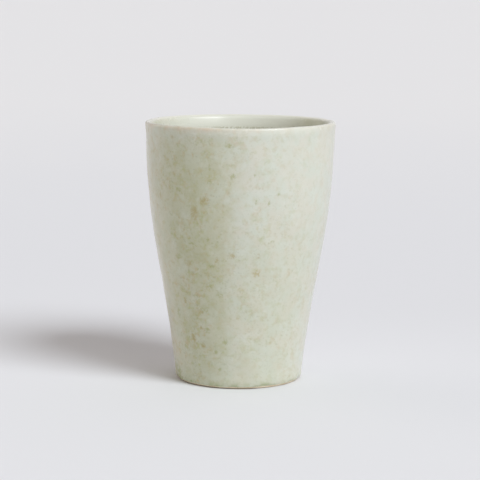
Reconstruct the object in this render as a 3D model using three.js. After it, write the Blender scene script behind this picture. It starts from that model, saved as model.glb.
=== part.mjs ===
// Handleless mug: one stoneware body with a rounded lip and a bare standing ring, under three coats of
// fused glaze, one outside and over the lip, one inside and one in the recess below the floor.
// Millimetres, +Z up, origin at the centre of the face that the mug stands on.
import * as THREE from "three";

// Overall sizes, measured over the glaze
const HEIGHT = 110;
const RIM_RADIUS = 40.2; // at the fullest part of the lip
const LIP_FLARE = 0.35; // how far the lip stands out from the neck, where the wall ends
const FOOT_RADIUS = 26.9; // where the wall rises from the rounded foot corner
const LIP_HEIGHT = 6; // from the neck to the rim
const LIP_OUTER_RADIUS = 1; // of the lip's edge where it rounds over from the outside
const LIP_INNER_RADIUS = 2.6; // and where it rounds down to the inside
const FOOT_LEAN = THREE.MathUtils.degToRad(6.5); // of the wall, outwards from upright
const NECK_LEAN = THREE.MathUtils.degToRad(1.8);

// Thicknesses, through the clay and both coats
const NECK_THICKNESS = 3.5;
const FOOT_WALL_THICKNESS = 5;
const FLOOR_THICKNESS = 6.5;
const FLOOR_CORNER_RADIUS = 9; // inside, between the wall and the floor

// Foot
const FOOT_CORNER_RADIUS = 1.3; // of the clay
const STANDING_RING_WIDTH = 4;
const RECESS_DEPTH = 1.4; // from the standing ring up to the glaze below the floor
const RECESS_BARE_EDGE = 0.8; // clay left bare round the glaze in the recess

// Glaze
const GLAZE_THICKNESS = 0.4;
const BARE_CORNER_TURN = THREE.MathUtils.degToRad(78); // of the foot corner, from the table to the glaze

// Facets
const SIDES = 48;
const WALL_STEPS = 10;
const LIP_STEPS = 2;
const CREST_STEPS = 4;
const CORNER_STEPS = 5;

const NECK_HEIGHT = HEIGHT - LIP_HEIGHT;
const NECK_RADIUS = RIM_RADIUS - LIP_FLARE;
const CREST_RADIUS = RIM_RADIUS - LIP_OUTER_RADIUS;
const FLOOR_HEIGHT = RECESS_DEPTH + FLOOR_THICKNESS;
const GLAZED_CORNER_RADIUS = FOOT_CORNER_RADIUS + GLAZE_THICKNESS;
const WALL_START_HEIGHT = FOOT_CORNER_RADIUS - GLAZED_CORNER_RADIUS * Math.sin(FOOT_LEAN);
const RING_OUTER_RADIUS = FOOT_RADIUS - GLAZED_CORNER_RADIUS * Math.cos(FOOT_LEAN);
const RECESS_RADIUS = RING_OUTER_RADIUS - STANDING_RING_WIDTH;

// A smooth step between two values over a height, with a given slope at each end and no curvature there.
function smoothStep(height, low, high) {
  const rise = high.height - low.height;
  const t = (height - low.height) / rise;
  const step = t ** 3 * (10 - 15 * t + 6 * t ** 2);
  const lowSlope = t - t ** 3 * (6 - 8 * t + 3 * t ** 2);
  const highSlope = t ** 3 * (-4 + 7 * t - 3 * t ** 2);
  return (
    low.value + (high.value - low.value) * step + rise * (low.slope * lowSlope + high.slope * highSlope)
  );
}

const FOOT_END = { height: WALL_START_HEIGHT, value: FOOT_RADIUS, slope: Math.tan(FOOT_LEAN) };
const NECK_END = { height: NECK_HEIGHT, value: NECK_RADIUS, slope: Math.tan(NECK_LEAN) };
const RIM_END = { height: HEIGHT - LIP_OUTER_RADIUS, value: RIM_RADIUS, slope: 0 };

// The wall thins evenly up to the neck, from where the inside goes its own way up into the lip.
const THINNING = (FOOT_WALL_THICKNESS - NECK_THICKNESS) / (NECK_HEIGHT - WALL_START_HEIGHT);
const INNER_NECK_END = {
  height: NECK_HEIGHT,
  value: NECK_RADIUS - NECK_THICKNESS,
  slope: Math.tan(NECK_LEAN) + THINNING,
};
const INNER_RIM_END = { height: HEIGHT - LIP_INNER_RADIUS, value: CREST_RADIUS - LIP_INNER_RADIUS, slope: 0 };

// Radius of the outside at a height: the wall's slow S, then the lip's slight flare.
function outsideRadius(height) {
  return height < NECK_HEIGHT
    ? smoothStep(height, FOOT_END, NECK_END)
    : smoothStep(height, NECK_END, RIM_END);
}

function insideRadius(height) {
  return height < NECK_HEIGHT
    ? outsideRadius(height) - NECK_THICKNESS - THINNING * (NECK_HEIGHT - height)
    : smoothStep(height, INNER_NECK_END, INNER_RIM_END);
}

// Lean of a surface of revolution at a height, from upright.
function leanOf(radiusAt, height) {
  const reach = 0.01;
  return Math.atan((radiusAt(height + reach) - radiusAt(height - reach)) / (2 * reach));
}

// A skin point is a place on the glaze, as radius and height, with the direction in which the glaze faces.
const outsidePoint = (height) => ({
  radius: outsideRadius(height),
  height,
  facing: -leanOf(outsideRadius, height),
});

const insidePoint = (height) => ({
  radius: insideRadius(height),
  height,
  facing: Math.PI - leanOf(insideRadius, height),
});

// Heights, or angles, in equal steps, both ends included.
function evenly(from, to, steps) {
  return Array.from({ length: steps + 1 }, (_, step) => from + ((to - from) * step) / steps);
}

function arcPoints(centre, radius, from, to, steps, hollow) {
  return evenly(from, to, steps).map((angle) => ({
    radius: centre.x + radius * Math.cos(angle),
    height: centre.y + radius * Math.sin(angle),
    facing: hollow ? angle + Math.PI : angle,
  }));
}

const onGlaze = (point) => new THREE.Vector2(point.radius, point.height);

const onClay = (point) =>
  new THREE.Vector2(
    point.radius - GLAZE_THICKNESS * Math.cos(point.facing),
    point.height - GLAZE_THICKNESS * Math.sin(point.facing),
  );

// Outside skin: up from the glaze's lower edge on the foot corner, over the lip, and down inside to the neck
const FOOT_CORNER = new THREE.Vector2(RING_OUTER_RADIUS, FOOT_CORNER_RADIUS);
const LIP_OUTER_CENTRE = new THREE.Vector2(CREST_RADIUS, RIM_END.height);
const LIP_INNER_CENTRE = new THREE.Vector2(CREST_RADIUS, INNER_RIM_END.height);
const TABLE_SIDE = -Math.PI / 2;
const LIP_TOP = Math.PI / 2;
const GLAZE_EDGE = TABLE_SIDE + BARE_CORNER_TURN;

const outsideSkin = [
  ...arcPoints(FOOT_CORNER, GLAZED_CORNER_RADIUS, GLAZE_EDGE, -FOOT_LEAN, CORNER_STEPS),
  ...evenly(WALL_START_HEIGHT, NECK_HEIGHT, WALL_STEPS).slice(1).map(outsidePoint),
  ...evenly(NECK_HEIGHT, RIM_END.height, LIP_STEPS).slice(1, -1).map(outsidePoint),
  ...arcPoints(LIP_OUTER_CENTRE, LIP_OUTER_RADIUS, 0, LIP_TOP, CREST_STEPS),
  ...arcPoints(LIP_INNER_CENTRE, LIP_INNER_RADIUS, LIP_TOP, Math.PI, CREST_STEPS).slice(1),
  ...evenly(INNER_RIM_END.height, NECK_HEIGHT, LIP_STEPS).slice(1).map(insidePoint),
];

// Inside skin: down from the neck, round the floor's corner and in to the middle of the floor
const FLOOR_CORNER_HEIGHT = FLOOR_HEIGHT + FLOOR_CORNER_RADIUS;
const FLOOR_LEAN = leanOf(insideRadius, FLOOR_CORNER_HEIGHT);
const FLOOR_CORNER_TOP = FLOOR_CORNER_HEIGHT - FLOOR_CORNER_RADIUS * Math.sin(FLOOR_LEAN);
const FLOOR_CORNER = new THREE.Vector2(
  insideRadius(FLOOR_CORNER_TOP) - FLOOR_CORNER_RADIUS * Math.cos(FLOOR_LEAN),
  FLOOR_CORNER_HEIGHT,
);

const insideSkin = [
  ...evenly(NECK_HEIGHT, FLOOR_CORNER_TOP, WALL_STEPS).slice(0, -1).map(insidePoint),
  ...arcPoints(FLOOR_CORNER, FLOOR_CORNER_RADIUS, -FLOOR_LEAN, TABLE_SIDE, CORNER_STEPS, true),
  { radius: 0, height: FLOOR_HEIGHT, facing: Math.PI / 2 },
];

// Turns an outline of points round the axis and stands it on +Z. The outline has the solid on its left.
function turned(outline) {
  return new THREE.LatheGeometry(outline, SIDES).rotateX(Math.PI / 2);
}

// A coat's outline follows the clay in the clay's own direction, so that both have the same facets where
// they meet, and comes back along the glaze. That has the coat on its right, so its faces are turned round.
function turnedCoat(outline) {
  const geometry = turned(outline);
  const corners = geometry.index;
  for (let first = 0; first < corners.count; first += 3) {
    const second = corners.getX(first + 1);
    corners.setX(first + 1, corners.getX(first + 2));
    corners.setX(first + 2, second);
  }
  geometry.computeVertexNormals();
  return geometry;
}

function stonewareBody() {
  const roof = RECESS_DEPTH + GLAZE_THICKNESS;
  const bareCorner = arcPoints(FOOT_CORNER, FOOT_CORNER_RADIUS, TABLE_SIDE, GLAZE_EDGE, CORNER_STEPS);
  return turned([
    new THREE.Vector2(0, roof),
    new THREE.Vector2(RECESS_RADIUS, roof),
    new THREE.Vector2(RECESS_RADIUS, 0),
    ...bareCorner.slice(0, -1).map(onGlaze),
    ...outsideSkin.map(onClay),
    ...insideSkin.slice(1).map(onClay),
  ]);
}

// The coat thins to nothing over its first step up from the bare corner.
function outerGlaze() {
  const clay = outsideSkin.map(onClay);
  const glaze = outsideSkin.slice(1).map(onGlaze).reverse();
  return turnedCoat([...clay, ...glaze, clay[0]]);
}

function linerGlaze() {
  const glaze = insideSkin.map(onGlaze).reverse();
  return turnedCoat([...glaze, ...insideSkin.map(onClay)]);
}

function baseGlaze() {
  const radius = RECESS_RADIUS - RECESS_BARE_EDGE;
  const roof = RECESS_DEPTH + GLAZE_THICKNESS;
  return turned([
    new THREE.Vector2(0, RECESS_DEPTH),
    new THREE.Vector2(radius - GLAZE_THICKNESS, RECESS_DEPTH),
    new THREE.Vector2(radius, roof),
    new THREE.Vector2(0, roof),
  ]);
}

// Finishes
const clayFinish = { color: 0xc9b899, roughness: 0.85, metalness: 0 };
const glazeFinish = { color: 0xc4c7b4, roughness: 0.4, metalness: 0 };

function part(name, geometry, finish) {
  const mesh = new THREE.Mesh(geometry, new THREE.MeshStandardMaterial(finish));
  mesh.name = name;
  return mesh;
}

const mug = new THREE.Group();
mug.name = "handleless_mug";
mug.add(
  part("stoneware_body", stonewareBody(), clayFinish),
  part("outer_glaze", outerGlaze(), glazeFinish),
  part("liner_glaze", linerGlaze(), glazeFinish),
  part("base_glaze", baseGlaze(), glazeFinish),
);

export default mug;
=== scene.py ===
import math

import bpy
import numpy as np
from mathutils import Matrix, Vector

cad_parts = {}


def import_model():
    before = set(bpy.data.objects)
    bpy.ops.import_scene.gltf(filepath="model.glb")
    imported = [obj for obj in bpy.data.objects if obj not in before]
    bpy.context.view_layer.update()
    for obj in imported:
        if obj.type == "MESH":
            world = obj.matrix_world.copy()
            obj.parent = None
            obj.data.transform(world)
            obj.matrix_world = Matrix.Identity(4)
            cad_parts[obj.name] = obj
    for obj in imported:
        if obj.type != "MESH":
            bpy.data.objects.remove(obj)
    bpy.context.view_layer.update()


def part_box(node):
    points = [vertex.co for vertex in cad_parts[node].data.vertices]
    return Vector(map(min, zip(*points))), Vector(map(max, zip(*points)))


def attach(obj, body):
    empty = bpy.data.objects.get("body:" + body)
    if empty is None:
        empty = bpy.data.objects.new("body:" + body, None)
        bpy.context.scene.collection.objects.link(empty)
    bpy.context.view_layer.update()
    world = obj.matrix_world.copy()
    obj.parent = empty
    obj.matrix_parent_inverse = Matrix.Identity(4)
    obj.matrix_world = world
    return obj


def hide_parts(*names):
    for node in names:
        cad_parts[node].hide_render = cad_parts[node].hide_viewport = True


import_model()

# Handleless stoneware mug: fine surfaces and finishes for the clay body and its three coats of glaze.
# Lengths are in millimetres, except where a comment says metres. +Z is up, and the camera looks along +Y.
MM = 0.001


def node_box(node):
    low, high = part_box(node)
    return low / MM, high / MM


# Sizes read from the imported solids
_, OUTER_HIGH = node_box("outer_glaze")
LINER_LOW, LINER_HIGH = node_box("liner_glaze")
BASE_LOW, BASE_HIGH = node_box("base_glaze")
_, BODY_HIGH = node_box("stoneware_body")

HEIGHT = OUTER_HIGH.z
RIM_RADIUS = OUTER_HIGH.x
GLAZE_THICKNESS = OUTER_HIGH.z - BODY_HIGH.z
NECK_HEIGHT = LINER_HIGH.z
FLOOR_HEIGHT = LINER_LOW.z + GLAZE_THICKNESS
RECESS_DEPTH = BASE_LOW.z
BASE_COAT_RADIUS = BASE_HIGH.x

# Sizes of the solids that their boxes don't give, as the part's source has them
LIP_FLARE = 0.35
LIP_OUTER_RADIUS = 1.0
FOOT_RADIUS = 26.9
FOOT_LEAN = math.radians(6.5)
NECK_LEAN = math.radians(1.8)
NECK_THICKNESS = 3.5
FOOT_WALL_THICKNESS = 5.0
FLOOR_CORNER_RADIUS = 9.0
FOOT_CORNER_RADIUS = 1.3
STANDING_RING_WIDTH = 4.0
BARE_CORNER_TURN = math.radians(78)

# Fine detail of the surfaces
LIP_CREST_RADIUS = 2.2  # of the lip's edge inside, finer than the part's source has it
LIP_CREST_TURNS = (math.radians(20), math.radians(80))  # between which the turn of that edge is looked for
HALVINGS = 40  # of that range
RECESS_EDGE_RADIUS = 0.5
EDGE_ROUNDING = 0.9  # length over which a coat's edge rounds off
FOOT_BEAD = 0.12  # extra glaze just above the coat's lower edge
FOOT_BEAD_LENGTH = 2.2
FOOT_BEAD_START = 0.8  # length over which the bead comes in
EDGE_WANDER = 0.22  # of the coat's lower edge, along the foot corner
EDGE_DROP = 1.2  # of that edge's middle below the skin's first row, in wanders
GLAZE_RELIEF = 0.035  # unevenness of the glaze's thickness
RELIEF_FADE = 4.0  # length over which it fades towards the edges of a coat
LINER_RELIEF_START = 200  # length along the relief's waves at which the liner's begin
OUT_OF_ROUND = 0.10  # of the thrown wall, at the rim
OUT_OF_ROUND_POWER = 1.5  # of the height, with which it grows
LIP_WANDER = 0.08  # of the lip's height
LIP_DIP = 0.4  # how much lower the lip is where it dips than across from there
LIP_DIP_SIDE = math.radians(110)  # where it dips, from +X towards +Y
LIP_POWER = 6  # of the height, with which both come in
SEED = 7

# Points and rows of the meshes
AROUND = 360  # points round the axis
WALL_STEP = 0.75  # between rows outside
INSIDE_STEP = 1.2  # between rows inside
HIDDEN_STEP = 2.4  # between rows where clay and glaze meet out of sight
FOOT_CORNER_ROWS = 16
CREST_ROWS = 12
FLOOR_CORNER_ROWS = 18
FLOOR_ROWS = 16
HIDDEN_CORNER_ROWS = 9
HIDDEN_CREST_ROWS = 7
HIDDEN_FLOOR_ROWS = 8
RECESS_ROWS = 14
RECESS_WALL_ROWS = 4
RECESS_EDGE_ROWS = 7
RING_ROWS = 8
BARE_CORNER_ROWS = 12
BASE_ROWS = 16
BASE_EDGE_ROWS = 7
BASE_TOP_ROWS = 10
RECESS_MIDDLE = 2.0  # radius of the clay's first ring in the recess
BASE_MIDDLE = 1.5  # and of the first ring of the glaze there
COVERED_ROWS_MAPPED = 3  # of the clay just under the coat's edge, mapped as if they showed
HIDDEN_MAP_SHARE = 0.05  # of the bake map's height for a hidden row, next to one that shows
SHARP_EDGE = math.radians(40)

# Derived sizes
NECK_RADIUS = RIM_RADIUS - LIP_FLARE
CREST_RADIUS = RIM_RADIUS - LIP_OUTER_RADIUS
GLAZED_CORNER_RADIUS = FOOT_CORNER_RADIUS + GLAZE_THICKNESS
WALL_START_HEIGHT = FOOT_CORNER_RADIUS - GLAZED_CORNER_RADIUS * math.sin(FOOT_LEAN)
RING_OUTER_RADIUS = FOOT_RADIUS - GLAZED_CORNER_RADIUS * math.cos(FOOT_LEAN)
RECESS_RADIUS = RING_OUTER_RADIUS - STANDING_RING_WIDTH
RECESS_ROOF = RECESS_DEPTH + GLAZE_THICKNESS
FOOT_CORNER = (RING_OUTER_RADIUS, FOOT_CORNER_RADIUS)
TABLE_SIDE = -math.pi / 2
LIP_TOP = math.pi / 2
GLAZE_EDGE = TABLE_SIDE + BARE_CORNER_TURN
ANGLES = np.arange(AROUND) * 2 * math.pi / AROUND
RNG = np.random.default_rng(SEED)


# Outline of the mug: as in the part's source, apart from the lip's inside
def smooth_step(height, low, high):
    """Value at a height between two ends, with no curvature at either end.

    Each end is a height, a value and a slope.
    """
    rise = high[0] - low[0]
    t = (height - low[0]) / rise
    step = t**3 * (10 - 15 * t + 6 * t**2)
    low_slope = t - t**3 * (6 - 8 * t + 3 * t**2)
    high_slope = t**3 * (-4 + 7 * t - 3 * t**2)
    return low[1] + (high[1] - low[1]) * step + rise * (low[2] * low_slope + high[2] * high_slope)


FOOT_END = (WALL_START_HEIGHT, FOOT_RADIUS, math.tan(FOOT_LEAN))
NECK_END = (NECK_HEIGHT, NECK_RADIUS, math.tan(NECK_LEAN))
RIM_END = (HEIGHT - LIP_OUTER_RADIUS, RIM_RADIUS, 0.0)
THINNING = (FOOT_WALL_THICKNESS - NECK_THICKNESS) / (NECK_HEIGHT - WALL_START_HEIGHT)
INNER_NECK_RADIUS = NECK_RADIUS - NECK_THICKNESS
INNER_NECK_LEAN = math.atan(math.tan(NECK_LEAN) + THINNING)


def outside_radius(height):
    if height < NECK_HEIGHT:
        return smooth_step(height, FOOT_END, NECK_END)
    return smooth_step(height, NECK_END, RIM_END)


def inside_radius(height):
    return smooth_step(height, FOOT_END, NECK_END) - NECK_THICKNESS - THINNING * (NECK_HEIGHT - height)


def lean_of(radius_at, height):
    reach = 0.01
    return math.atan((radius_at(height + reach) - radius_at(height - reach)) / (2 * reach))


# A skin is an array of rows: radius, height and the direction that the surface faces
def wall_rows(radius_at, start, end, step, inwards=False):
    count = max(2, round(abs(end - start) / step) + 1)
    rows = []
    for height in np.linspace(start, end, count):
        lean = lean_of(radius_at, height)
        rows.append((radius_at(height), height, math.pi - lean if inwards else -lean))
    return np.array(rows)


def arc_rows(centre, radius, start, end, count, hollow=False):
    angles = np.linspace(start, end, count)
    facing = angles + math.pi if hollow else angles
    return np.column_stack(
        (centre[0] + radius * np.cos(angles), centre[1] + radius * np.sin(angles), facing)
    )


def flat_rows(start, end, height, count, facing):
    return np.column_stack((np.linspace(start, end, count), np.full(count, height), np.full(count, facing)))


def upright_rows(radius, start, end, count, facing):
    return np.column_stack((np.full(count, radius), np.linspace(start, end, count), np.full(count, facing)))


def joined(*parts):
    """Skins end to end, each dropping the first row that repeats the last one."""
    return np.vstack([parts[0]] + [part[1:] for part in parts[1:]])


def lip_taper(turn):
    """The arc that takes the lip in to the neck's radius after a turn of its crest.

    Gives the arc's radius, and how far down the arc ends.
    """
    last = math.pi / 2 - INNER_NECK_LEAN
    across = CREST_RADIUS - INNER_NECK_RADIUS - LIP_CREST_RADIUS * math.sin(turn)
    radius = across / (math.sin(last) - math.sin(turn))
    down = LIP_CREST_RADIUS * (1 - math.cos(turn)) + radius * (math.cos(turn) - math.cos(last))
    return radius, down


def lip_turn():
    """Turn of the lip's crest after which the tapering arc ends right at the neck, found by halving."""
    low, high = LIP_CREST_TURNS
    for _ in range(HALVINGS):
        middle = (low + high) / 2
        if lip_taper(middle)[1] < HEIGHT - NECK_HEIGHT:
            low = middle
        else:
            high = middle
    return low


def lip_inside(count):
    """Rows from the top of the lip down to the neck inside."""
    turn = lip_turn()
    radius = lip_taper(turn)[0]
    crest = (CREST_RADIUS, HEIGHT - LIP_CREST_RADIUS)
    reach = radius - LIP_CREST_RADIUS
    centre = (crest[0] + reach * math.sin(turn), crest[1] - reach * math.cos(turn))
    return joined(
        arc_rows(crest, LIP_CREST_RADIUS, LIP_TOP, LIP_TOP + turn, count),
        arc_rows(centre, radius, LIP_TOP + turn, math.pi - INNER_NECK_LEAN, count),
    )


def outside_skin(step, corner_count, crest_count):
    """Rows from the glaze's lower edge on the foot corner, up and over the lip, to the neck inside."""
    outer_crest = (CREST_RADIUS, RIM_END[0])
    return joined(
        arc_rows(FOOT_CORNER, GLAZED_CORNER_RADIUS, GLAZE_EDGE, -FOOT_LEAN, corner_count),
        wall_rows(outside_radius, WALL_START_HEIGHT, NECK_HEIGHT, step),
        wall_rows(outside_radius, NECK_HEIGHT, RIM_END[0], step),
        arc_rows(outer_crest, LIP_OUTER_RADIUS, 0, LIP_TOP, crest_count),
        lip_inside(crest_count),
    )


def inside_skin(step, corner_count, floor_count):
    """Rows from the neck inside down to the floor, stopping short of the axis."""
    corner_height = FLOOR_HEIGHT + FLOOR_CORNER_RADIUS
    lean = lean_of(inside_radius, corner_height)
    corner_top = corner_height - FLOOR_CORNER_RADIUS * math.sin(lean)
    corner = (inside_radius(corner_top) - FLOOR_CORNER_RADIUS * math.cos(lean), corner_height)
    skin = joined(
        wall_rows(inside_radius, NECK_HEIGHT, corner_top, step, inwards=True),
        arc_rows(corner, FLOOR_CORNER_RADIUS, -lean, TABLE_SIDE, corner_count, hollow=True),
        flat_rows(corner[0], 0, FLOOR_HEIGHT, floor_count, math.pi / 2),
    )
    return skin[:-1]


# Unevenness
class Waves:
    """A sum of a few random waves that close up round the axis."""

    def __init__(self, count, turns, lengths):
        self.turns = RNG.integers(1, turns + 1, count)
        self.rates = RNG.choice((-1, 1), count) * 2 * math.pi / RNG.uniform(*lengths, count)
        self.phases = RNG.uniform(0, 2 * math.pi, count)
        self.scale = 1 / math.sqrt(count / 2)

    def __call__(self, angle, along):
        total = 0.0
        for turns, rate, phase in zip(self.turns, self.rates, self.phases):
            total = total + np.cos(turns * angle + rate * along + phase)
        return total * self.scale


THROWN = Waves(count=5, turns=3, lengths=(90, 240))
LIP_LINE = Waves(count=4, turns=4, lengths=(1000, 2000))
RELIEF = Waves(count=24, turns=18, lengths=(9, 40))
EDGE_LINE = Waves(count=9, turns=22, lengths=(1000, 2000))


def rings(skin, lift):
    """Radius and height of a skin's rows, for each point round the axis.

    They are moved out along the facing direction by lift, a value or an array.
    """
    radius = skin[:, 0, None] + lift * np.cos(skin[:, 2, None])
    height = skin[:, 1, None] + lift * np.sin(skin[:, 2, None])
    shape = (len(skin), AROUND)
    return np.stack((np.broadcast_to(radius, shape), np.broadcast_to(height, shape)), -1)


def placed(points):
    """Rings in space, in metres, with the whole mug's slight unevenness, which is nothing at the foot."""
    radius, height = points[..., 0], points[..., 1]
    share = np.clip(height / HEIGHT, 0, 1)
    swell = OUT_OF_ROUND * share**OUT_OF_ROUND_POWER * THROWN(ANGLES, height)
    radius = radius + swell * np.clip(radius / RIM_RADIUS, 0, 1)
    dip = LIP_DIP * (1 + np.cos(ANGLES - LIP_DIP_SIDE)) / 2
    height = height + share**LIP_POWER * (LIP_WANDER * LIP_LINE(ANGLES, 0) - dip)
    return np.stack((radius * np.cos(ANGLES), radius * np.sin(ANGLES), height), -1) * MM


def along_rows(skin):
    """Length along a skin from its first row to each row."""
    steps = np.hypot(np.diff(skin[:, 0]), np.diff(skin[:, 1]))
    return np.concatenate(([0], np.cumsum(steps)))


def rounded_edge(distance):
    """Share of a coat's full thickness at a distance from its edge."""
    t = np.clip(distance / EDGE_ROUNDING, 0, 1)
    return np.sqrt(1 - (1 - t) ** 2)


# Meshes
def ring_faces(lower, upper):
    """Corners of the faces between each lower ring and its upper one."""
    ring = np.arange(AROUND)
    beside = (ring + 1) % AROUND
    below, above = lower[:, None] * AROUND, upper[:, None] * AROUND
    corners = (below + ring, below + beside, above + beside, above + ring)
    return np.stack(corners, -1).reshape(-1, 4).tolist()


def end_faces(count):
    """Corners of the faces that close the first and the last ring.

    Each ring is closed with one point, and the two points follow those of all the rings.
    """
    ring = np.arange(AROUND)
    beside = (ring + 1) % AROUND
    first, last = count * AROUND, count * AROUND + 1
    top = (count - 1) * AROUND
    start = [(first, b, a) for a, b in zip(ring, beside)]
    end = [(last, top + a, top + b) for a, b in zip(ring, beside)]
    return start + end


def bake_map(points, lower, upper, shown, looped):
    """Map place of each face's corners: round the axis one way, and along the rows the other."""
    weights = np.where(shown[lower] | shown[upper], 1.0, HIDDEN_MAP_SHARE)
    steps = np.linalg.norm(points[upper, 0] - points[lower, 0], axis=1) * weights
    bounds = np.concatenate(([0], np.cumsum(steps))) / steps.sum()
    low, high = bounds[:-1, None], bounds[1:, None]
    around = np.arange(AROUND + 1) / AROUND
    left, right = around[:-1], around[1:]
    shape = (len(lower), AROUND, 4)
    across = np.broadcast_to(np.stack((left, right, right, left), -1), shape)
    along = np.broadcast_to(np.stack((low, low, high, high), -1), shape)
    coords = np.stack((across, along), -1).reshape(-1, 2)
    if looped:
        return coords
    middle = (left + right) / 2
    start_fan = np.stack((middle, right, left), -1)
    end_fan = np.stack((middle, left, right), -1)
    start = np.stack((start_fan, np.zeros_like(start_fan)), -1).reshape(-1, 2)
    end = np.stack((end_fan, np.ones_like(end_fan)), -1).reshape(-1, 2)
    return np.vstack((coords, start, end))


def turned_mesh(name, points, shown, looks, looped):
    """A closed mesh of rings. Looped rings join the last to the first; others end on the axis at both ends.

    points is rows x AROUND x 3, shown marks the rows that get most of the bake map's height, and looks
    holds named arrays of rows x AROUND.
    """
    count = len(points)
    lower = np.arange(count if looped else count - 1)
    upper = (lower + 1) % count
    vertices = points.reshape(-1, 3)
    faces = ring_faces(lower, upper)
    if not looped:
        vertices = np.vstack((vertices, points[0].mean(0), points[-1].mean(0)))
        faces += end_faces(count)
    mesh = bpy.data.meshes.new(name)
    mesh.from_pydata(vertices.tolist(), [], faces)
    mesh.shade_smooth()
    mesh.set_sharp_from_angle(angle=SHARP_EDGE)
    for label, values in looks.items():
        layer = mesh.attributes.new(label, "FLOAT", "POINT")
        flat = np.zeros(len(vertices), np.float32)
        flat[: count * AROUND] = np.broadcast_to(values, (count, AROUND)).ravel()
        layer.data.foreach_set("value", flat)
    layer = mesh.uv_layers.new(name="OFBake")
    coords = bake_map(points, lower, upper, shown, looped)
    layer.data.foreach_set("uv", coords.astype(np.float32).ravel())
    mesh.validate()
    return mesh


def piece(name, mesh, material, node):
    thing = bpy.data.objects.new(name, mesh)
    bpy.context.scene.collection.objects.link(thing)
    mesh.materials.append(material)
    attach(thing, "root")
    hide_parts(node)
    return thing


# Shared rows where clay and glaze meet
OUTSIDE_HIDDEN = outside_skin(HIDDEN_STEP, HIDDEN_CORNER_ROWS, HIDDEN_CREST_ROWS)
INSIDE_HIDDEN = inside_skin(HIDDEN_STEP, HIDDEN_CORNER_ROWS, HIDDEN_FLOOR_ROWS)
OUTSIDE_CLAY = rings(OUTSIDE_HIDDEN, -GLAZE_THICKNESS)
INSIDE_CLAY = rings(INSIDE_HIDDEN, -GLAZE_THICKNESS)

# Marks in the glaze that the eye picks out: degrees to the right of the front, height, width, length and
# strength of each
OLIVE_MARKS = (
    (-4, 90.5, 2.4, 2.7, 1.0),
    (9, 91, 1.5, 1.5, 0.8),
    (-18, 88, 2.0, 2.2, 0.9),
    (-18, 94, 1.6, 3.2, 0.6),
    (-40, 84, 3.0, 2.0, 0.9),
    (-48, 73, 2.6, 3.6, 0.5),
    (-21, 64, 2.2, 2.0, 0.9),
    (-33, 62, 5.2, 1.5, 0.8),
    (-48, 65, 4.6, 2.3, 0.6),
    (-45, 55.5, 3.4, 3.0, 0.8),
    (-19, 53, 3.2, 2.7, 0.8),
    (18, 79.5, 2.0, 2.3, 0.7),
    (24, 83, 2.8, 1.9, 0.6),
    (10, 80, 1.9, 2.6, 0.7),
    (22, 63.5, 2.0, 1.6, 0.8),
    (-54, 31, 2.6, 4.4, 0.9),
    (-25, 25, 2.1, 2.8, 0.9),
    (-11, 20.5, 2.4, 2.8, 1.0),
    (-19, 16, 1.8, 2.4, 0.8),
    (-16, 8.5, 1.8, 1.8, 0.9),
    (-43, 10, 2.2, 2.0, 0.6),
    (-6, 103, 4.4, 2.8, 0.7),
    (-26, 34, 5.0, 4.0, 0.6),
    (-22, 44, 5.5, 4.5, 0.6),
    (-14, 41, 4.5, 3.5, 0.6),
)
OCHRE_MARKS = (
    (-29, 75, 3.8, 6.4, 1.0),
    (-22, 80, 4.4, 3.8, 0.9),
    (-58, 81, 2.6, 4.4, 0.6),
    (-36, 53, 3.6, 3.2, 0.8),
    (-4, 57.5, 3.4, 2.4, 0.8),
    (-15, 55.5, 2.6, 3.0, 0.7),
    (12, 50, 3.4, 3.2, 0.9),
    (13, 57.5, 2.8, 2.8, 0.6),
    (-44, 37, 1.9, 3.6, 0.8),
    (-30, 33, 2.5, 3.6, 0.7),
    (-31, 26, 2.5, 2.2, 0.7),
    (-39, 21, 2.7, 3.6, 1.0),
    (-30, 18, 2.1, 2.6, 0.9),
    (-1, 31, 2.0, 2.2, 0.6),
)
CLEAR_MARKS = ((7, 9, 12, 14, 0.7),)  # patches with few freckles, given in the same way

# Where the glaze's look changes. A side is degrees to the right of the front. A pair of numbers is the range
# over which something comes or goes, in those degrees unless its comment says otherwise.
WARM_SIDE = -28  # where the glaze is most olive and darkest: partly its own colour, partly painted shade on the side turned from the key light
WARM_REACH_LEFT = 68  # degrees to each side of that where it is like the rest again
WARM_REACH_RIGHT = 34
WARM_POWER = 1.5  # the higher, the narrower the olive side
WARM_TOP = (92, 110)  # heights where the olive fades upwards
WARM_TOP_LOSS = 0.6  # share that it loses there
WARM_FOOT = (4, 24)  # heights where it comes in from the foot; less of it below them is painted light from the floor
WARM_FOOT_SHARE = 0.7  # share that it has below them
LOW_WARM_SIDE = 12  # of a fainter, wider olive patch low on the wall
LOW_WARM_REACH = 60
LOW_WARM_TOP = (45, 85)
LOW_WARM_SHARE = 0.35
BACK_WARM = (95, 150)  # degrees from the front where the back's olive comes in
BACK_WARM_SHARE = 0.5
# Share of the painted shade on the inner wall away from the key light
INSIDE_WARM_SHARE = 0.95

CREAM_SIDE = 175  # where the inside is palest, painted light where the key light falls inside
CREAM_FADE_LEFT = (12, 98)  # degrees from there, round the mug's left, where the cream goes
CREAM_FADE_RIGHT = (22, 56)  # and round its right
LINER_CREAM_REACH = 14  # of the cream, down from the neck

CREST_CREAM = 0.38  # share of the cream on top of the lip, partly its own colour and partly painted light
CREST_DARK_SIDE = -60  # where there is least of it, painted shade on the front left
CREST_DARK_REACH = 40
CREST_DARK_LOSS = 0.3
CREST_BACK = (85, 120)  # degrees from the front where more comes in
CREST_BACK_CREAM = 0.35

PALE_TOP = (105, HEIGHT)  # heights where the outside turns cream, a painted highlight below the lip
PALE_TOP_COMES = (-65, -5)
PALE_TOP_GOES = (30, 75)
PALE_TOP_SHARE = 0.42

BUFF_COMES = (-160, -105)  # of the buff that shows through thin glaze on the left
BUFF_GOES = (-75, -40)
BUFF_SHARE = 0.3

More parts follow.
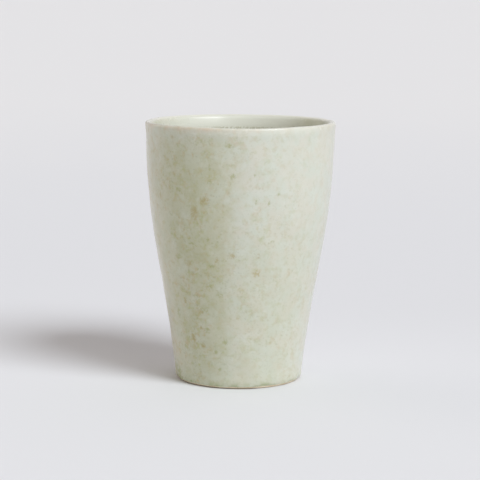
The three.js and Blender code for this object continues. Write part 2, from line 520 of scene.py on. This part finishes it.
BREAKING_SHARE = 0.2  # of the buff just below the rim, all the way round
BREAKING_COMES = (-130, -90)  # of the extra buff there on the left
BREAKING_GOES = (-20, 30)
BREAKING_MORE = 0.6
BREAKING_DEPTH = 0.8  # below the rim
BREAKING_REACH = 1.0

FRECKLES = 0.74  # share of the freckles where there are most
FRECKLES_FRONT = (-35, 5)  # where some go, towards the right
FRECKLES_FRONT_LOSS = 0.216
FRECKLES_RIGHT = (10, 50)  # where some more go
FRECKLES_RIGHT_LOSS = 0.144
FRECKLES_TOP = (55, 95)  # heights over which both losses grow
FRECKLES_TOP_GROWTH = 0.5
FRECKLES_RIGHT_END = (100, 160)  # where both losses end
FRECKLES_BACK = (95, 165)  # degrees from the front where the back's loss comes in
FRECKLES_BACK_LOSS = 0.3
CREST_FRECKLES_LOSS = 0.6  # on top of the lip
CREST_FRECKLES_BACK = (90, 120)  # degrees from the front where the lip loses them all
LINER_FRECKLES = 0.4
LINER_FRECKLES_COME = (0, 30)  # lengths down from the neck
BASE_FRECKLES = 0.6

SEAM_FADE = (14, 36)  # degrees from the back where the join between the coats fades
SEAM_FADE_LOSS = 0.7
SEAM_REACH = 0.6  # of the join's specks, up and down

POOL_SHARE = 0.8  # of the thick green glaze at the foot
POOL_REACH = 2.0  # its height
POOL_LEFT_COMES = (-150, -100)  # of a greener and higher stretch on the left
POOL_LEFT_GOES = (-54, -38)
POOL_LEFT_MORE = 2.2
POOL_LEFT_REACH = 2.5
POOL_RIGHT_COMES = (20, 50)  # of a fainter and higher stretch on the right
POOL_RIGHT_GOES = (100, 150)
POOL_RIGHT_LESS = 0.3
POOL_RIGHT_REACH = 0.8
BASE_POOL_REACH = 2.5  # of the green glaze at the edge in the recess

TOASTED_FACING = (math.radians(30), math.radians(65))  # below level, where the bare clay turns brown: partly toasted clay, partly painted contact shade under the foot
TOASTED_LOSS = 0.85  # of the brown and painted shade, on the right
TOASTED_LOSS_COMES = (5, 45)
TOASTED_LOSS_GOES = (90, 150)

# Turns of the lip's surface, in right angles from facing outwards
LIP_INSIDE = (1.15, 1.8)  # where the inside's look comes in
LIP_CREST_COMES = (0.4, 0.8)
LIP_CREST_GOES = (1.3, 1.7)

TURNS = (np.degrees(ANGLES) + 270) % 360 - 180  # degrees to the right of the front, round the axis
FROM_FRONT = np.abs(TURNS)


def ease(values, low, high):
    """Nothing at low, everything at high, and a smooth change between them."""
    t = np.clip((values - low) / (high - low), 0, 1)
    return t * t * (3 - 2 * t)


def stretch(values, comes, goes):
    """Comes in over one range of values and goes again over a higher one."""
    return ease(values, *comes) * (1 - ease(values, *goes))


def bump(values, middle, reach):
    """Everything at the middle, and little beyond the reach."""
    return np.exp(-(((values - middle) / reach) ** 2))


def mark_field(skin, marks):
    """Soft bumps, one for each mark, on the rows of a skin that face outwards."""
    field = np.zeros((len(skin), AROUND))
    for side, height, width, length, strength in marks:
        across = np.radians(TURNS - side) * skin[:, 0, None] / (width / 2)
        along = (skin[:, 1, None] - height) / (length / 2)
        field = np.maximum(field, strength * np.exp(-(across**2 + along**2)))
    return field * (np.abs(skin[:, 2, None]) < LIP_TOP)


def olive_and_shade(skin):
    """Share of the olive colour on the outside: partly the glaze's own colour, partly painted shade on the
    side turned from the key light, with less near the foot as painted light from the floor.
    """
    height = skin[:, 1, None]
    away = TURNS - WARM_SIDE
    away = away / np.where(away > 0, WARM_REACH_RIGHT, WARM_REACH_LEFT)
    high = np.clip(1 - away**2, 0, 1) ** WARM_POWER
    high = high * (1 - WARM_TOP_LOSS * ease(height, *WARM_TOP))
    high = high * (WARM_FOOT_SHARE + (1 - WARM_FOOT_SHARE) * ease(height, *WARM_FOOT))
    away = (TURNS - LOW_WARM_SIDE) / LOW_WARM_REACH
    low = LOW_WARM_SHARE * np.clip(1 - away**2, 0, 1) * (1 - ease(height, *LOW_WARM_TOP))
    back = BACK_WARM_SHARE * ease(FROM_FRONT, *BACK_WARM)
    return np.maximum(np.maximum(high, low), back)


def painted_inside_light():
    """Share of the cream colour on the inside, round the axis: painted light, most on the back and left that
    the key light reaches.
    """
    away = (TURNS - CREAM_SIDE + 180) % 360 - 180
    return np.where(away > 0, 1 - ease(away, *CREAM_FADE_LEFT), 1 - ease(-away, *CREAM_FADE_RIGHT))


def painted_inside_shade():
    """Share of the olive colour on the inside, where it isn't cream: painted shade on the inner wall that the
    key light doesn't reach.
    """
    return INSIDE_WARM_SHARE * (1 - painted_inside_light())


def crest_cream():
    """Share of the cream colour along the top of the lip, least to the left of the front: partly the glaze's
    own cream, partly painted light and shade.
    """
    dark = CREST_DARK_LOSS * bump(TURNS, CREST_DARK_SIDE, CREST_DARK_REACH)
    return CREST_CREAM - dark + CREST_BACK_CREAM * ease(FROM_FRONT, *CREST_BACK)


def painted_lit_top(skin):
    """Share of the cream colour at the top of the outside, most at the front: a painted highlight below the
    lit lip.
    """
    height = skin[:, 1, None]
    return PALE_TOP_SHARE * ease(height, *PALE_TOP) * stretch(TURNS, PALE_TOP_COMES, PALE_TOP_GOES)


def buff_side():
    """Share of the buff colour that shows through on the left, where the glaze is thin."""
    return BUFF_SHARE * stretch(TURNS, BUFF_COMES, BUFF_GOES)


def breaking(skin):
    """Share of the buff colour just below the rim, where the glaze breaks over the clay's edge."""
    share = BREAKING_SHARE + BREAKING_MORE * stretch(TURNS, BREAKING_COMES, BREAKING_GOES)
    return share * bump(skin[:, 1, None], HEIGHT - BREAKING_DEPTH, BREAKING_REACH)


def freckling(skin):
    """Share of the freckles on the outside, fewest at the top right of the front and at the back."""
    lost = FRECKLES_FRONT_LOSS * ease(TURNS, *FRECKLES_FRONT)
    lost = lost + FRECKLES_RIGHT_LOSS * ease(TURNS, *FRECKLES_RIGHT)
    lost = lost * (1 + FRECKLES_TOP_GROWTH * ease(skin[:, 1, None], *FRECKLES_TOP))
    lost = lost * (1 - ease(TURNS, *FRECKLES_RIGHT_END))
    lost = lost + FRECKLES_BACK_LOSS * ease(FROM_FRONT, *FRECKLES_BACK)
    return (FRECKLES - lost) * (1 - mark_field(skin, CLEAR_MARKS))


def crest_bareness():
    """Share of the freckles that the top of the lip lacks, all of them at the back."""
    return CREST_FRECKLES_LOSS + (1 - CREST_FRECKLES_LOSS) * ease(FROM_FRONT, *CREST_FRECKLES_BACK)


def seam_strength():
    """How well the join between the coats shows inside, round the axis, best at the back."""
    return 1 - SEAM_FADE_LOSS * ease(180 - FROM_FRONT, *SEAM_FADE)


def foot_pooling(distance):
    """Share of the thick green glaze at a distance from the coat's lower edge, most on the far left."""
    left = stretch(TURNS, POOL_LEFT_COMES, POOL_LEFT_GOES)
    right = stretch(TURNS, POOL_RIGHT_COMES, POOL_RIGHT_GOES)
    share = POOL_SHARE + POOL_LEFT_MORE * left - POOL_RIGHT_LESS * right
    return share * bump(distance, 0, POOL_REACH + POOL_LEFT_REACH * left + POOL_RIGHT_REACH * right)


# Materials
def linear(red, green, blue):
    """Linear colour from one given in the usual 0 to 255 steps."""
    return tuple(
        c / 12.92 if c <= 0.04045 else ((c + 0.055) / 1.055) ** 2.4
        for c in (red / 255, green / 255, blue / 255)
    ) + (1.0,)


class Nodes:
    """Short calls for building a node tree. A socket or a plain value can feed any input."""

    def __init__(self, tree):
        self.tree = tree
        self.tree.nodes.clear()

    def add(self, kind, settings=None, **inputs):
        made = self.tree.nodes.new(kind)
        for key, value in (settings or {}).items():
            setattr(made, key, value)
        for key, value in inputs.items():
            self.feed(made.inputs[key.replace("_", " ")], value)
        return made

    def feed(self, socket, value):
        if isinstance(value, bpy.types.NodeSocket):
            self.tree.links.new(value, socket)
        else:
            socket.default_value = value

    def noise(self, place, size, detail, roughness):
        return self.add(
            "ShaderNodeTexNoise", Vector=place, Scale=1 / (size * MM), Detail=detail, Roughness=roughness
        ).outputs["Fac"]

    def cells(self, place, size):
        """Distance from the nearest of many scattered points, and two random values that each point has."""
        found = self.add("ShaderNodeTexVoronoi", Vector=place, Scale=1 / (size * MM), Randomness=1.0)
        chance = self.add("ShaderNodeSeparateColor", Color=found.outputs["Color"])
        return found.outputs["Distance"], chance.outputs[0], chance.outputs[1]

    def ramp(self, value, low, high, bottom=0.0, top=1.0):
        """Bottom at low, top at high, and a smooth change between them."""
        made = self.add("ShaderNodeMapRange", {"interpolation_type": "SMOOTHSTEP"})
        for key, feed in enumerate((value, low, high, bottom, top)):
            self.feed(made.inputs[key], feed)
        return made.outputs[0]

    def math(self, operation, first, second):
        made = self.add("ShaderNodeMath", {"operation": operation})
        self.feed(made.inputs[0], first)
        self.feed(made.inputs[1], second)
        return made.outputs[0]

    def times(self, first, second):
        return self.math("MULTIPLY", first, second)

    def plus(self, first, second):
        return self.math("ADD", first, second)

    def blend(self, share, first, second):
        made = self.add("ShaderNodeMix", {"data_type": "RGBA"})
        self.feed(made.inputs[0], share)
        self.feed(made.inputs[6], first)
        self.feed(made.inputs[7], second)
        return made.outputs[2]

    def place(self, kind="Object"):
        return self.add("ShaderNodeTexCoord").outputs[kind]

    def along(self, place, axis):
        return self.add("ShaderNodeSeparateXYZ", Vector=place).outputs[axis]

    def moved(self, place, shift):
        made = self.add("ShaderNodeVectorMath", {"operation": "ADD"})
        self.feed(made.inputs[0], place)
        self.feed(made.inputs[1], shift)
        return made.outputs[0]

    def wander(self, place, size, amount):
        """The place, pushed about by noise."""
        push = self.add("ShaderNodeTexNoise", Vector=place, Scale=1 / (size * MM), Detail=2.0)
        middle = self.moved(push.outputs["Color"], (-0.5, -0.5, -0.5))
        scaled = self.add("ShaderNodeVectorMath", {"operation": "SCALE"}, Scale=amount * MM)
        self.feed(scaled.inputs[0], middle)
        return self.moved(place, scaled.outputs[0])

    def attribute(self, name):
        return self.add("ShaderNodeAttribute", {"attribute_name": name}).outputs["Fac"]

    def surface(self, colour, roughness, relief, depth, specular):
        bumps = self.add("ShaderNodeBump", Height=relief, Strength=1.0, Distance=depth * MM)
        shader = self.add(
            "ShaderNodeBsdfPrincipled",
            Base_Color=colour,
            Roughness=roughness,
            Normal=bumps.outputs[0],
            Specular_IOR_Level=specular,
        )
        out = self.add("ShaderNodeOutputMaterial")
        self.tree.links.new(shader.outputs[0], out.inputs["Surface"])


def new_material(name):
    material = bpy.data.materials.new(name)
    material.use_nodes = True
    return material, Nodes(material.node_tree)


SAGE_GREEN = linear(204, 207, 194)
SAGE_BEIGE = linear(207, 205, 191)
SAGE_PALE = linear(213, 215, 206)
# Olive of the glaze, also used as painted shade
SAGE_OLIVE = linear(184, 184, 153)
GRAIN = linear(140, 142, 116)
MOTTLE_GREEN = linear(170, 171, 108)
MOTTLE_TAN = linear(184, 162, 114)
OLIVE = linear(153, 154, 95)
OCHRE = linear(169, 150, 96)
POOLED = linear(160, 168, 126)
CREAM = linear(231, 231, 219)
BROKEN = linear(212, 196, 176)
SEAM_BROWN = linear(150, 142, 92)

# Most that each look takes of the glaze's colour
MOTTLE_SHARE = 0.8
DOT_SHARE = 0.4
FRECKLE_SHARE = 0.42
SPOT_SHARE = 0.4
OLIVE_MARK_SHARE = 0.5
OCHRE_MARK_SHARE = 0.55
SEAM_SHARE = 0.5

# Shifts in metres that keep one noise from repeating another
OLIVE_SHADE_SHIFT = (0.3, 0, 0)
PALE_SHIFT = (0, 0.4, 0)
HUE_SHIFT = (0.2, 0, 0)
DOT_SHIFT = (0, 0, 0.3)
SPOT_SHIFT = (0, 0, 0.7)

SPECK_CORE = 0.2  # part of a speck's reach that has its full colour
RIPPLE_RELIEF = 0.8
SPECK_RELIEF = -0.2
CREAM_DULLING = 0.13  # roughness that the cream glaze has more than the rest


def clouded(n, place):
    """Sage colour in soft clouds, olive where the glaze is olive and where shade is painted, and the clouds
    themselves.
    """
    clouds = n.ramp(n.noise(place, size=8, detail=4, roughness=0.6), 0.36, 0.64)
    colour = n.blend(clouds, SAGE_GREEN, SAGE_BEIGE)
    thick = n.noise(n.moved(place, OLIVE_SHADE_SHIFT), size=10, detail=3, roughness=0.6)
    thick = n.ramp(thick, 0.3, 0.7, bottom=0.6)
    # The olive share is partly painted shade on the side away from the key light
    colour = n.blend(n.times(n.attribute("olive_and_shade"), thick), colour, SAGE_OLIVE)
    pale = n.noise(n.moved(place, PALE_SHIFT), size=5, detail=4, roughness=0.6)
    pale = n.ramp(pale, 0.45, 0.8, top=0.4)
    return n.blend(pale, colour, SAGE_PALE), clouds


def mottled(n, colour, place, ragged, crowding):
    """Green and tan mottling with fine dark dots, and the mottling's grain."""
    grain = n.noise(ragged, size=3.0, detail=2, roughness=0.7)
    share = n.times(n.ramp(grain, 0.42, 0.78), n.times(crowding, MOTTLE_SHARE))
    hue = n.noise(n.moved(ragged, HUE_SHIFT), size=3.0, detail=2, roughness=0.8)
    colour = n.blend(share, colour, n.blend(n.ramp(hue, 0.4, 0.62), MOTTLE_GREEN, MOTTLE_TAN))
    dots = n.ramp(n.noise(n.moved(place, DOT_SHIFT), size=1.0, detail=1, roughness=0.7), 0.56, 0.76)
    return n.blend(n.times(dots, n.times(crowding, DOT_SHARE)), colour, GRAIN), grain


def scattered(n, place, spacing, shown, grown, reaches):
    """Round specks, and a random value that each of them has.

    Over the range shown a speck's chance makes it appear, and over the range grown it gets its reach.
    """
    apart, chance, hue = n.cells(place, spacing)
    reach = n.ramp(chance, *grown, *reaches)
    specks = n.ramp(apart, reach, n.times(reach, SPECK_CORE))
    return n.times(specks, n.ramp(chance, *shown)), hue


def specked(n, colour, specks, share, hue):
    """Colour with specks on it, from olive to ochre."""
    return n.blend(n.times(specks, share), colour, n.blend(hue, OLIVE, OCHRE))


def marked(n, colour, ragged):
    """Colour with the single larger marks on it, torn at their edges."""
    torn = n.noise(ragged, size=1.1, detail=3, roughness=0.65)
    torn = n.ramp(torn, 0.32, 0.68, bottom=0.35, top=1.2)
    kinds = (("olive_marks", OLIVE_MARK_SHARE, OLIVE), ("ochre_marks", OCHRE_MARK_SHARE, OCHRE))
    for label, share, mark_colour in kinds:
        strength = n.ramp(n.times(n.attribute(label), torn), 0.12, 0.7, top=share)
        colour = n.blend(strength, colour, mark_colour)
    return colour


def edged(n, colour, place):
    """Colour with pooled green at the foot, cream and buff where the glaze is thin, and the coats' join."""
    pooled = n.ramp(n.noise(place, size=4, detail=3, roughness=0.6), 0.45, 0.68, bottom=0.1)
    colour = n.blend(n.times(n.attribute("pooling"), pooled), colour, POOLED)
    # The lip share is cream glaze and painted light: the lit inside, the painted highlight below the lip and
    # the crest's cream
    colour = n.blend(n.attribute("lip"), colour, CREAM)
    patchy = n.ramp(n.noise(place, size=6, detail=3, roughness=0.6), 0.4, 0.65, bottom=0.3)
    colour = n.blend(n.times(n.attribute("breaking"), patchy), colour, BROKEN)
    broken_line = n.ramp(n.noise(place, size=0.9, detail=3, roughness=0.6), 0.40, 0.58)
    seam = n.times(n.attribute("seam"), broken_line)
    return n.blend(n.times(seam, SEAM_SHARE), colour, SEAM_BROWN)


def glaze_material():
    material, n = new_material("sage_glaze")
    place = n.place()
    ragged = n.wander(n.wander(place, size=2.5, amount=2.0), size=0.7, amount=0.7)
    crowding = n.ramp(n.noise(place, size=12, detail=3, roughness=0.55), 0.35, 0.65, bottom=0.55)
    crowding = n.times(crowding, n.attribute("freckling"))

    colour, clouds = clouded(n, place)
    colour, grain = mottled(n, colour, place, ragged, crowding)
    freckles, hue = scattered(
        n, ragged, spacing=1.7, shown=(0.35, 0.5), grown=(0.4, 1.0), reaches=(0.1, 0.42)
    )
    freckles = n.times(freckles, crowding)
    colour = specked(n, colour, freckles, FRECKLE_SHARE, n.ramp(hue, 0.6, 0.9))
    spots, hue = scattered(
        n, n.moved(ragged, SPOT_SHIFT), spacing=6.0, shown=(0.5, 0.6), grown=(0.5, 1.0), reaches=(0.08, 0.3)
    )
    colour = specked(n, colour, n.times(spots, crowding), SPOT_SHARE, n.ramp(hue, 0.5, 0.8))
    colour = marked(n, colour, ragged)
    colour = edged(n, colour, place)

    ripple = n.noise(place, size=2.4, detail=3, roughness=0.5)
    relief = n.plus(n.times(ripple, RIPPLE_RELIEF), n.times(n.plus(grain, freckles), SPECK_RELIEF))
    roughness = n.ramp(clouds, 0.0, 1.0, bottom=0.18, top=0.26)
    roughness = n.plus(roughness, n.times(n.attribute("lip"), CREAM_DULLING))
    n.surface(colour, roughness, relief, depth=0.05, specular=0.42)
    return material


CLAY_PALE = linear(232, 220, 198)
CLAY_DARK = linear(216, 198, 168)
CLAY_FLECK = linear(150, 126, 96)
# Brown of toasted clay, also standing in for painted contact shade under the foot
CLAY_TOASTED_SHADE = linear(128, 98, 76)
FLECK_SHARE = 0.6


def clay_material():
    material, n = new_material("bare_clay")
    place = n.place()
    clouds = n.ramp(n.noise(place, size=6, detail=4, roughness=0.6), 0.35, 0.65)
    colour = n.blend(clouds, CLAY_PALE, CLAY_DARK)
    apart, chance, _ = n.cells(place, 1.2)
    flecks = n.times(n.ramp(apart, 0.2, 0.08), n.ramp(chance, 0.7, 0.75))
    colour = n.blend(n.times(flecks, FLECK_SHARE), colour, CLAY_FLECK)
    patchy = n.ramp(n.noise(place, size=3, detail=3, roughness=0.6), 0.3, 0.6, bottom=0.6)
    # Toasted clay and painted contact shade on the lowest bare clay of the foot corner
    colour = n.blend(n.times(n.attribute("toasted_and_shade"), patchy), colour, CLAY_TOASTED_SHADE)
    grain = n.noise(place, size=0.35, detail=4, roughness=0.65)
    roughness = n.ramp(grain, 0.3, 0.7, bottom=0.78, top=0.92)
    n.surface(colour, roughness, grain, depth=0.06, specular=0.35)
    return material


# Pieces
def on_shown_rows(values, shown):
    """A look's values on the rows that show, and nothing on the others."""
    full = np.zeros((len(shown), AROUND))
    full[shown] = values
    return full


def body_clay():
    """The fired clay, from the roof of the recess over the standing ring to the surfaces under the coats."""
    inner_edge = (RECESS_RADIUS + RECESS_EDGE_RADIUS, RECESS_EDGE_RADIUS)
    bare = joined(
        flat_rows(RECESS_MIDDLE, RECESS_RADIUS, RECESS_ROOF, RECESS_ROWS, TABLE_SIDE),
        upright_rows(RECESS_RADIUS, RECESS_ROOF, RECESS_EDGE_RADIUS, RECESS_WALL_ROWS, math.pi),
        arc_rows(inner_edge, RECESS_EDGE_RADIUS, math.pi, 1.5 * math.pi, RECESS_EDGE_ROWS),
        flat_rows(inner_edge[0], RING_OUTER_RADIUS, 0, RING_ROWS, TABLE_SIDE),
        arc_rows(FOOT_CORNER, FOOT_CORNER_RADIUS, TABLE_SIDE, GLAZE_EDGE, BARE_CORNER_ROWS),
    )
    points = np.concatenate((rings(bare, 0.0), OUTSIDE_CLAY[1:], INSIDE_CLAY[1:]))
    shown = np.arange(len(points)) < len(bare) + COVERED_ROWS_MAPPED
    corner = slice(len(bare) - BARE_CORNER_ROWS, len(bare))
    # The bare corner is painted darker towards the table: toasted clay and painted contact shade
    toasted_and_shade = np.zeros((len(points), AROUND))
    toasted_and_shade[corner] = ease(-bare[corner, 2, None], *TOASTED_FACING)
    toasted_and_shade = toasted_and_shade * (1 - TOASTED_LOSS * stretch(TURNS, TOASTED_LOSS_COMES, TOASTED_LOSS_GOES))
    return turned_mesh("body_clay", placed(points), shown, {"toasted_and_shade": toasted_and_shade}, looped=False)


def outer_lift(along, distance):
    """How far the outer coat stands out from its skin: relief, the bead at the foot and its rounded edge."""
    bead = FOOT_BEAD * bump(distance, FOOT_BEAD_LENGTH, FOOT_BEAD_LENGTH)
    bead = bead * np.clip(along / FOOT_BEAD_START, 0, 1)[:, None]
    full = np.clip(along / RELIEF_FADE, 0, 1) * np.clip((along[-1] - along) / RELIEF_FADE, 0, 1)
    lift = RELIEF(ANGLES, along[:, None]) * GLAZE_RELIEF * full[:, None] + bead
    lift = lift - GLAZE_THICKNESS * (1 - rounded_edge(np.maximum(distance, 0)))
    lift[0] = -GLAZE_THICKNESS
    return lift


def outer_looks(skin, along, distance):
    over = skin[:, 2, None] / LIP_TOP
    inside = ease(over, *LIP_INSIDE)
    crest = stretch(over, LIP_CREST_COMES, LIP_CREST_GOES)
    # Cream holds painted light: the lit inside and the painted highlight at the top of the outside
    cream = inside * painted_inside_light() + (1 - inside) * painted_lit_top(skin)
    return {
        "olive_marks": mark_field(skin, OLIVE_MARKS),
        "ochre_marks": mark_field(skin, OCHRE_MARKS),
        # Olive share: the glaze's own olive and painted shade, outside and inside
        "olive_and_shade": olive_and_shade(skin) * (1 - inside) + painted_inside_shade() * inside,
        "lip": np.maximum(cream, crest * crest_cream()),
        "freckling": freckling(skin) * (1 - inside) * (1 - crest * crest_bareness()),
        "breaking": np.maximum(breaking(skin), buff_side()) * (1 - crest) * (1 - inside),
        "pooling": foot_pooling(distance),
        "seam": bump(along, along[-1], SEAM_REACH)[:, None] * seam_strength(),
    }


def outer_coat():
    """The coat outside and over the lip, with a lower edge that wanders a little."""
    skin = outside_skin(WALL_STEP, FOOT_CORNER_ROWS, CREST_ROWS)
    along = along_rows(skin)
    edge = EDGE_WANDER * (EDGE_LINE(ANGLES, 0) - EDGE_DROP)
    distance = along[:, None] - edge
    air = rings(skin, outer_lift(along, distance))
    points = np.concatenate((air, OUTSIDE_CLAY[::-1][:-1]))
    shown = np.arange(len(points)) < len(air)
    looks = outer_looks(skin, along, distance)
    looks = {label: on_shown_rows(values, shown) for label, values in looks.items()}
    return turned_mesh("outer_coat", placed(points), shown, looks, looped=True)


def liner_coat():
    """The coat on the inside wall and floor."""
    skin = inside_skin(INSIDE_STEP, FLOOR_CORNER_ROWS, FLOOR_ROWS)
    along = along_rows(skin)
    full = np.clip(along / RELIEF_FADE, 0, 1)[:, None]
    air = rings(skin, RELIEF(ANGLES, along[:, None] + LINER_RELIEF_START) * GLAZE_RELIEF * full)
    points = np.concatenate((INSIDE_CLAY[::-1], air))
    shown = np.arange(len(points)) >= len(INSIDE_CLAY)
    looks = {
        "seam": bump(along, 0, SEAM_REACH)[:, None] * seam_strength(),
        # Painted light on the inside, down from the neck
        "lip": bump(along, 0, LINER_CREAM_REACH)[:, None] * painted_inside_light(),
        "olive_and_shade": painted_inside_shade(),
        "freckling": LINER_FRECKLES * ease(along, *LINER_FRECKLES_COME)[:, None],
    }
    looks = {label: on_shown_rows(values, shown) for label, values in looks.items()}
    return turned_mesh("liner_coat", placed(points), shown, looks, looped=False)


def base_coat():
    """The coat in the recess, rounded at its edge."""
    under = flat_rows(BASE_MIDDLE, BASE_COAT_RADIUS - GLAZE_THICKNESS, RECESS_DEPTH, BASE_ROWS, TABLE_SIDE)
    edge = arc_rows((under[-1, 0], RECESS_ROOF), GLAZE_THICKNESS, TABLE_SIDE, 0, BASE_EDGE_ROWS)
    above = flat_rows(BASE_COAT_RADIUS, BASE_MIDDLE, RECESS_ROOF, BASE_TOP_ROWS, math.pi / 2)
    skin = joined(under, edge, above)
    points = rings(skin, 0.0)
    shown = np.arange(len(points)) < len(under) + len(edge)
    looks = {
        "pooling": bump(skin[:, 0], BASE_COAT_RADIUS, BASE_POOL_REACH)[:, None],
        "freckling": BASE_FRECKLES,
    }
    return turned_mesh("base_coat", placed(points), shown, looks, looped=False)


CLAY = clay_material()
GLAZE = glaze_material()
piece("body_clay", body_clay(), CLAY, "stoneware_body")
piece("outer_coat", outer_coat(), GLAZE, "outer_glaze")
piece("liner_coat", liner_coat(), GLAZE, "liner_glaze")
piece("base_coat", base_coat(), GLAZE, "base_glaze")

# Camera at the photograph's viewing angle: about 0.75 m away, looking slightly down, a little rolled
CAMERA_PLACE = (0.28, -750.0, 170.73)
CAMERA_PITCH = math.radians(8.476)
CAMERA_ROLL = math.radians(0.428)
CAMERA_LENS = 133.43
CAMERA_SENSOR = 36.0
CAMERA_REACH = 100  # metres


def camera():
    data = bpy.data.cameras.new("camera")
    data.lens = CAMERA_LENS
    data.sensor_width = CAMERA_SENSOR
    data.clip_end = CAMERA_REACH
    thing = bpy.data.objects.new("camera", data)
    bpy.context.scene.collection.objects.link(thing)
    thing.matrix_world = (
        Matrix.Translation([c * MM for c in CAMERA_PLACE])
        @ Matrix.Rotation(math.pi / 2 - CAMERA_PITCH, 4, "X")
        @ Matrix.Rotation(CAMERA_ROLL, 4, "Z")
    )
    bpy.context.scene.camera = thing


# Studio: a wide pale floor, a soft key light from the front right, a small light from the front, a faint warm
# one from the left, and dimmer light all round. A light's side is its turn to the right of the camera.
FLOOR_HALF = 40.0  # metres
FLOOR_FRONT = linear(228, 229, 230)
FLOOR_BEHIND = linear(223, 224, 225)
FLOOR_FAR = linear(229, 229, 228)
FLOOR_GREYS = (-0.05, 0.17)  # metres behind the mug between which the floor gets greyer, painted shade for the floor's uneven light
FLOOR_PALES = (0.25, 1.7)  # and those between which it gets paler again, painted light
KEY_SIDE = math.radians(46.5)
KEY_ELEVATION = math.radians(43.5)
KEY_WIDTH = math.radians(27)
KEY_STRENGTH = 2.4
KEY_COLOUR = (0.955, 1.0, 1.07)
FRONT_SIDE = math.radians(22)
FRONT_ELEVATION = math.radians(45)
FRONT_WIDTH = math.radians(14)
FRONT_STRENGTH = 0.12
FRONT_COLOUR = (1.0, 1.0, 1.0)
EDGE_SIDE = math.radians(-112)
EDGE_ELEVATION = math.radians(15)
EDGE_WIDTH = math.radians(45)
EDGE_STRENGTH = 0.5
EDGE_COLOUR = (1.0, 0.965, 0.86)
WORLD_HORIZON = (0.785, 0.785, 0.80, 1.0)
WORLD_FRONT = (0.22, 0.21, 0.15, 1.0)
WORLD_BACK = (0.60, 0.55, 0.60, 1.0)
WORLD_TURN = (-0.8, 0.8)  # of the direction's Y, from the front's colour to the back's
WORLD_RISE = (0.10, 0.32)  # of the direction's Z, from the horizon's colour to those


def floor_material():
    material, n = new_material("pale_floor")
    place = n.place()
    far = n.ramp(n.along(n.wander(place, size=300, amount=200), "Y"), *FLOOR_PALES)
    behind = n.ramp(n.along(place, "Y"), *FLOOR_GREYS)
    # Painted light and shade: the floor is greyer just behind the mug and paler far off
    colour = n.blend(behind, FLOOR_FRONT, n.blend(far, FLOOR_BEHIND, FLOOR_FAR))
    grain = n.noise(place, size=0.8, detail=2, roughness=0.5)
    n.surface(colour, roughness=0.85, relief=grain, depth=0.01, specular=0.2)
    return material


def floor():
    mesh = bpy.data.meshes.new("floor")
    corners = ((-1, -1), (1, -1), (1, 1), (-1, 1))
    mesh.from_pydata([(x * FLOOR_HALF, y * FLOOR_HALF, 0) for x, y in corners], [], [(0, 1, 2, 3)])
    mesh.materials.append(floor_material())
    thing = bpy.data.objects.new("floor", mesh)
    bpy.context.scene.collection.objects.link(thing)


def soft_light(name, side, elevation, width, strength, colour):
    data = bpy.data.lights.new(name, "SUN")
    data.energy = strength
    data.color = colour
    data.angle = width
    thing = bpy.data.objects.new(name, data)
    bpy.context.scene.collection.objects.link(thing)
    thing.matrix_world = Matrix.Rotation(side, 4, "Z") @ Matrix.Rotation(math.pi / 2 - elevation, 4, "X")


def world():
    """Light all round: dimmer from the camera's side, and as pale as the floor along the horizon."""
    made = bpy.data.worlds.new("studio")
    bpy.context.scene.world = made
    made.use_nodes = True
    n = Nodes(made.node_tree)
    direction = n.place("Generated")
    upper = n.blend(n.ramp(n.along(direction, "Y"), *WORLD_TURN), WORLD_FRONT, WORLD_BACK)
    colour = n.blend(n.ramp(n.along(direction, "Z"), *WORLD_RISE), WORLD_HORIZON, upper)
    background = n.add("ShaderNodeBackground", Color=colour)
    out = n.add("ShaderNodeOutputWorld")
    n.tree.links.new(background.outputs[0], out.inputs["Surface"])


camera()
floor()
soft_light("key", KEY_SIDE, KEY_ELEVATION, KEY_WIDTH, KEY_STRENGTH, KEY_COLOUR)
soft_light("front", FRONT_SIDE, FRONT_ELEVATION, FRONT_WIDTH, FRONT_STRENGTH, FRONT_COLOUR)
soft_light("edge", EDGE_SIDE, EDGE_ELEVATION, EDGE_WIDTH, EDGE_STRENGTH, EDGE_COLOUR)
world()
bpy.context.scene.view_settings.view_transform = "Standard"
